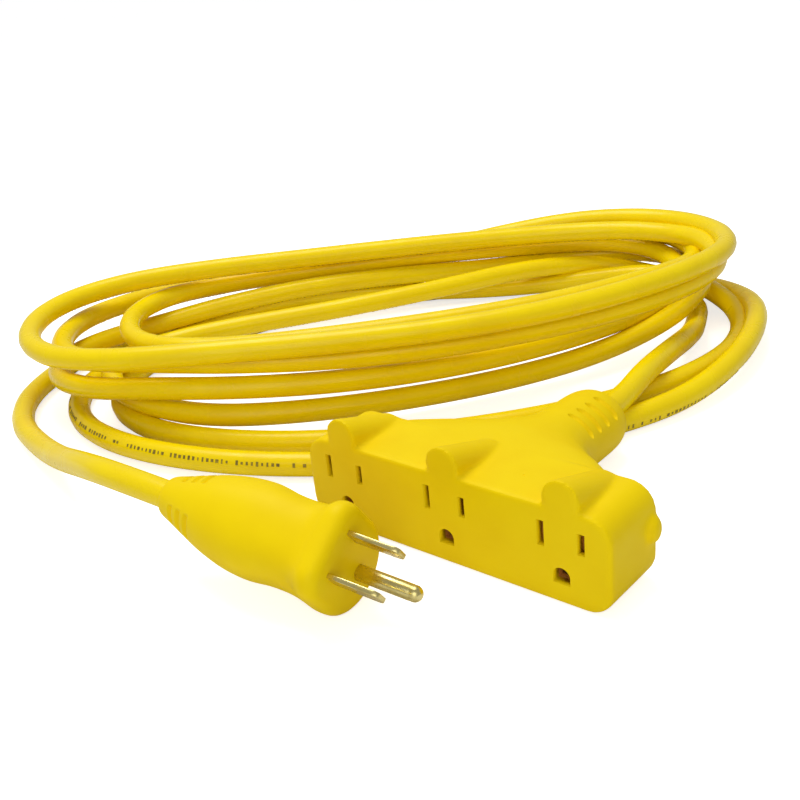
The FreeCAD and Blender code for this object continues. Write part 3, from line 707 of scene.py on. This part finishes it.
# depth, half width along the blades, half width towards the ground pin, shift, squareness, share of D
plugSections = [
    (0, 13.9, 14, 6.9, 0.9, 1.0), (3, 14.5, 14, 6.9, 0.9, 1.0), (6, 14.5, 13.9, 6.7, 0.84, 0.75),
    (9, 13.9, 13.5, 6.4, 0.80, 0.42), (12, 13.4, 13.1, 6.1, 0.78, 0.15), (16, 13.1, 12.8, 5.8, 0.78, 0.0),
    (22, 13.3, 12.8, 5.5, 0.8, 0.0), (30, 14.3, 12.8, 5.3, 0.85, 0.0), (38, 13.9, 12.2, 5.0, 0.9, 0.0),
    (46, 12.3, 11.1, 4.5, 0.94, 0.0), (54, 9.9, 9.3, 4.1, 0.98, 0.0), (61, 7.6, 7.5, 4.0, 1.0, 0.0),
    (65, 6.3, 6.3, 4.0, 1.0, 0.0), (66, 5.2, 5.2, 4.0, 1.0, 0.0),
]
plugPose = (Matrix.Translation([value * mm for value in plug["place"]])
            @ Matrix.Rotation(math.radians(plug["turn"]), 4, Vector(plug["axis"])))


def flangeReach(angle):
    half, corner = plug["flangeRadius"], plug["flangeCorner"]
    lowY = -plug["flangeFlat"] - plug["flangeCentre"]
    outward = Vector((math.cos(angle), math.sin(angle)))
    if outward.y >= 0:
        return half
    reach = min(half / max(abs(outward.x), 1e-6), lowY / outward.y)
    touch = outward * reach
    if abs(touch.x) > half - corner and touch.y < lowY + corner:
        centre = Vector((math.copysign(half - corner, touch.x), lowY + corner))
        along = outward.dot(centre)
        reach = along + math.sqrt(max(0.0, corner ** 2 - (centre.length_squared - along ** 2)))
    return reach


def plugPoint(depth, angle):
    wide, high, shift, squareness, flange = between(plugSections, depth)
    gripX = wide * power(math.cos(angle), squareness)
    gripY = shift + high * power(math.sin(angle), squareness)
    reach = flangeReach(angle) * wide / plug["flangeRadius"]
    flangeX, flangeY = reach * math.cos(angle), plug["flangeCentre"] + reach * math.sin(angle)
    share = ease(flange)
    x, y = gripX + (flangeX - gripX) * share, gripY + (flangeY - gripY) * share
    inset = 0.0
    if depth < plug["faceEdge"]:
        inset = plug["faceEdge"] - math.sqrt(plug["faceEdge"] ** 2 - (plug["faceEdge"] - depth) ** 2)
    tilt = math.radians(plug["grooveTilt"])
    facingGroove = abs(math.cos(angle)) * math.cos(tilt) - math.sin(angle) * math.sin(tilt)
    sideways = math.degrees(math.acos(max(-1.0, min(1.0, facingGroove))))
    across = ease((plug["grooveHalfAngle"] - sideways) / plug["grooveFade"])
    for centre in plug["grooves"]:
        nearness = ease((plug["grooveWide"] - abs(depth - centre)) / plug["grooveSlope"])
        inset += plug["grooveDeep"] * across * nearness
    length = math.hypot(x, y - shift)
    scale = (length - inset) / length
    return x * scale, shift + (y - shift) * scale, -depth


def plugDepths():
    edge, count = plug["faceEdge"], plug["rings"]
    rounding = [edge * (1 - math.cos(math.radians(angle))) for angle in (0, 18, 36, 54, 72, 90)]
    return rounding + [edge + (plug["long"] - edge) * step / count for step in range(1, count + 1)]


def plugShell():
    shape = bmesh.new()
    rings = []
    for depth in plugDepths():
        ring = [plugPoint(depth, 2 * math.pi * step / plug["sides"]) for step in range(plug["sides"])]
        rings.append([plugPose @ (Vector(point) * mm) for point in ring])
    loftRings(shape, rings)
    return newPiece("plugMoulding", facing(shape), "yellowMoulding")


plugPiece = plugShell()

contacts = {
    "bladeWide": 6.35, "bladeThick": 1.5, "bladeLong": 16.2, "tipDrop": 2.6, "tipHalf": 1.7, "root": -12,
    "pinRadius": 2.4, "pinLong": 20.8, "pinGroove": 0.12, "groundDrop": 11.9, "pinSides": 48,
    "edge": 0.3, "edgeAngle": 40, "sharpAngle": 35,
}


def bladePiece(name, x):
    half, tip = contacts["bladeWide"] / 2, contacts["bladeLong"]
    outline = [(-half, contacts["root"]), (half, contacts["root"]), (half, tip - contacts["tipDrop"])]
    for step in range(1, 7):
        angle = math.pi / 2 * step / 7
        outline.append((contacts["tipHalf"] + (half - contacts["tipHalf"]) * math.cos(angle),
                        tip - contacts["tipDrop"] * (1 - math.sin(angle))))
    outline += [(contacts["tipHalf"], tip)]
    outline += [(-y, z) for y, z in reversed(outline[2:])]
    shape = bmesh.new()
    loftRings(shape, [[plugPose @ (Vector((x + side * contacts["bladeThick"] / 2, y, z)) * mm)
                       for y, z in outline] for side in (-1, 1)])
    item = newPiece(name, facing(shape), "brass", smooth=False)
    bevel = item.modifiers.new("bevel", "BEVEL")
    bevel.width = contacts["edge"] * mm
    bevel.segments = 3
    bevel.limit_method = "ANGLE"
    bevel.angle_limit = math.radians(contacts["edgeAngle"])
    bakeModifiers(item)
    item.data.polygons.foreach_set("use_smooth", [True] * len(item.data.polygons))
    item.data.set_sharp_from_angle(angle=math.radians(contacts["sharpAngle"]))
    return item


def groundPinPiece():
    radius, long = contacts["pinRadius"], contacts["pinLong"]
    shoulder = long - radius
    profile = [(radius, contacts["root"]), (radius, shoulder * 0.5), (radius, shoulder - 0.9)]
    profile += [(radius - contacts["pinGroove"], shoulder - 0.6), (radius, shoulder - 0.3)]
    profile += [(radius * math.cos(math.radians(angle)), shoulder + radius * math.sin(math.radians(angle)))
                for angle in (0, 15, 30, 45, 58, 70, 80)]
    shape = bmesh.new()
    angles = [2 * math.pi * step / contacts["pinSides"] for step in range(contacts["pinSides"])]
    drop = contacts["groundDrop"]
    loftRings(shape, [[plugPose @ (Vector((size * math.cos(angle), drop + size * math.sin(angle), z)) * mm)
                       for angle in angles] for size, z in profile])
    return newPiece("groundPin", facing(shape), "brass")


blades = {"neutral_blade": bladePiece("neutralBlade", -tap["bladeOffset"]),
          "hot_blade": bladePiece("hotBlade", tap["bladeOffset"])}
groundPin = groundPinPiece()
print("plug moulded:", len(plugPiece.data.polygons), "faces")

# ---- printed ticks along the jacket

ticks = {
    "spacing": 1.9, "long": 1.05, "wide": 1.7, "thick": 0.05, "out": 4.49, "seed": 4,
    "turnStart": 1.5, "turnPerMetre": 0.06,       # mostly underneath, drifting a little
    "shownAt": 1.2, "shownOver": 0.62, "shownTurn": -2.3,       # and turned up along one stretch
}


def tickTree():
    tree = bpy.data.node_groups.new("printedTicks", "GeometryNodeTree")
    tree.interface.new_socket(name="Geometry", in_out="INPUT", socket_type="NodeSocketGeometry")
    sizes = {}
    for label in ("Spacing", "Tick Length", "Tick Width", "Tick Thickness", "Out", "Turn Start",
                  "Turn Per Metre", "Shown At", "Shown Over", "Shown Turn"):
        sizes[label] = tree.interface.new_socket(name=label, in_out="INPUT", socket_type="NodeSocketFloat")
    seed = tree.interface.new_socket(name="Seed", in_out="INPUT", socket_type="NodeSocketInt")
    ink = tree.interface.new_socket(name="Ink", in_out="INPUT", socket_type="NodeSocketMaterial")
    tree.interface.new_socket(name="Geometry", in_out="OUTPUT", socket_type="NodeSocketGeometry")
    nodes, links = tree.nodes, tree.links
    entry, leave = nodes.new("NodeGroupInput"), nodes.new("NodeGroupOutput")

    along = nodes.new("GeometryNodeSplineParameter")
    drift = nodes.new("ShaderNodeMath")
    drift.operation = "MULTIPLY_ADD"
    links.new(along.outputs["Length"], drift.inputs[0])
    links.new(entry.outputs["Turn Per Metre"], drift.inputs[1])
    links.new(entry.outputs["Turn Start"], drift.inputs[2])
    away = nodes.new("ShaderNodeMath")
    away.operation = "SUBTRACT"
    links.new(along.outputs["Length"], away.inputs[0])
    links.new(entry.outputs["Shown At"], away.inputs[1])
    apart = nodes.new("ShaderNodeMath")
    apart.operation = "ABSOLUTE"
    links.new(away.outputs[0], apart.inputs[0])
    shown = nodes.new("ShaderNodeMapRange")
    shown.interpolation_type = "SMOOTHSTEP"
    shown.inputs["From Min"].default_value = 0
    shown.inputs["To Max"].default_value = 0
    links.new(apart.outputs[0], shown.inputs["Value"])
    links.new(entry.outputs["Shown Over"], shown.inputs["From Max"])
    links.new(entry.outputs["Shown Turn"], shown.inputs["To Min"])
    whole = nodes.new("ShaderNodeMath")
    links.new(drift.outputs[0], whole.inputs[0])
    links.new(shown.outputs["Result"], whole.inputs[1])
    tilt = nodes.new("GeometryNodeSetCurveTilt")
    links.new(entry.outputs["Geometry"], tilt.inputs["Curve"])
    links.new(whole.outputs[0], tilt.inputs["Tilt"])
    points = nodes.new("GeometryNodeCurveToPoints")
    points.mode = "LENGTH"
    links.new(tilt.outputs["Curve"], points.inputs["Curve"])
    links.new(entry.outputs["Spacing"], points.inputs["Length"])

    shape = nodes.new("GeometryNodeMeshCube")
    sizeVector = nodes.new("ShaderNodeCombineXYZ")
    links.new(entry.outputs["Tick Thickness"], sizeVector.inputs["X"])
    links.new(entry.outputs["Tick Width"], sizeVector.inputs["Y"])
    links.new(entry.outputs["Tick Length"], sizeVector.inputs["Z"])
    links.new(sizeVector.outputs["Vector"], shape.inputs["Size"])

    word = nodes.new("FunctionNodeRandomValue")
    word.data_type = "BOOLEAN"
    word.inputs["Probability"].default_value = 0.8
    links.new(entry.outputs["Seed"], word.inputs["Seed"])
    place = nodes.new("GeometryNodeInstanceOnPoints")
    links.new(points.outputs["Points"], place.inputs["Points"])
    links.new(word.outputs[3], place.inputs["Selection"])
    links.new(shape.outputs["Mesh"], place.inputs["Instance"])
    links.new(points.outputs["Rotation"], place.inputs["Rotation"])
    stretch = nodes.new("FunctionNodeRandomValue")
    stretch.data_type = "FLOAT_VECTOR"
    stretch.inputs["Min"].default_value = (1, 0.55, 0.45)
    stretch.inputs["Max"].default_value = (1, 1.0, 1.25)
    links.new(entry.outputs["Seed"], stretch.inputs["Seed"])
    links.new(stretch.outputs["Value"], place.inputs["Scale"])
    move = nodes.new("GeometryNodeTranslateInstances")
    links.new(place.outputs["Instances"], move.inputs["Instances"])
    offset = nodes.new("ShaderNodeCombineXYZ")
    links.new(entry.outputs["Out"], offset.inputs["X"])
    links.new(offset.outputs["Vector"], move.inputs["Translation"])
    real = nodes.new("GeometryNodeRealizeInstances")
    links.new(move.outputs["Instances"], real.inputs["Geometry"])
    paint = nodes.new("GeometryNodeSetMaterial")
    links.new(real.outputs["Geometry"], paint.inputs["Geometry"])
    links.new(entry.outputs["Ink"], paint.inputs["Material"])
    links.new(paint.outputs["Geometry"], leave.inputs["Geometry"])
    identifiers = {label: socket.identifier for label, socket in sizes.items()}
    return tree, identifiers, seed.identifier, ink.identifier


def tickPiece():
    guide = routeCurve("tickGuide", 0)
    guide.data.twist_mode = "Z_UP"
    tree, sizes, seed, ink = tickTree()
    lay = guide.modifiers.new("ticks", "NODES")
    lay.node_group = tree
    values = {"Spacing": ticks["spacing"] * mm, "Tick Length": ticks["long"] * mm,
              "Tick Width": ticks["wide"] * mm, "Tick Thickness": ticks["thick"] * mm,
              "Out": ticks["out"] * mm, "Turn Start": ticks["turnStart"],
              "Turn Per Metre": ticks["turnPerMetre"], "Shown At": ticks["shownAt"],
              "Shown Over": ticks["shownOver"], "Shown Turn": ticks["shownTurn"]}
    for label, value in values.items():
        lay[sizes[label]] = value
    lay[seed] = ticks["seed"]
    lay[ink] = finishes["printInk"]
    bpy.context.view_layer.update()
    evaluated = guide.evaluated_get(bpy.context.evaluated_depsgraph_get())
    data = bpy.data.meshes.new_from_object(evaluated)
    item = bpy.data.objects.new("jacketPrint", data)
    scene.collection.objects.link(item)
    bpy.data.objects.remove(guide)
    return item


printPiece = tickPiece()
print("print laid:", len(printPiece.data.polygons), "faces")

# ---- finishes of the pieces kept from the frame

keptFinishes = (
    ("tap_carrier", "carrierPlastic"), ("plug_bridge", "carrierPlastic"), ("jacket_end", "yellowJacket"),
    ("crimp", "tinnedCrimp"), ("copper", "copper"), ("neutral_wire", "whiteInsulation"),
    ("hot_wire", "blackInsulation"), ("ground_wire", "greenInsulation"), ("overmould", "yellowMoulding"),
    ("cord_", "yellowJacket"), ("", "brass"),
)
for name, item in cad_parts.items():
    finish = next(finish for part, finish in keptFinishes if part in name)
    item.data.materials.clear()
    item.data.materials.append(finishes[finish])

# ---- what rides where

cordPiece.data.materials.append(finishes["yellowJacket"])
replaced = {
    cordPiece: ("yellow_jacket", ["cord_tap_lead", "cord_coil", "cord_plug_lead"]),
    tapPiece: ("yellow_moulding", ["tap_overmould"]),
    plugPiece: ("yellow_moulding", ["plug_overmould"]),
    blades["neutral_blade"]: ("brass", ["neutral_blade"]),
    blades["hot_blade"]: ("brass", ["hot_blade"]),
    groundPin: ("brass", ["ground_pin"]),
}
for piece, (slot, names) in replaced.items():
    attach(piece, "root")
    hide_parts(*names)
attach(printPiece, "root")

print("pieces ride and are named")
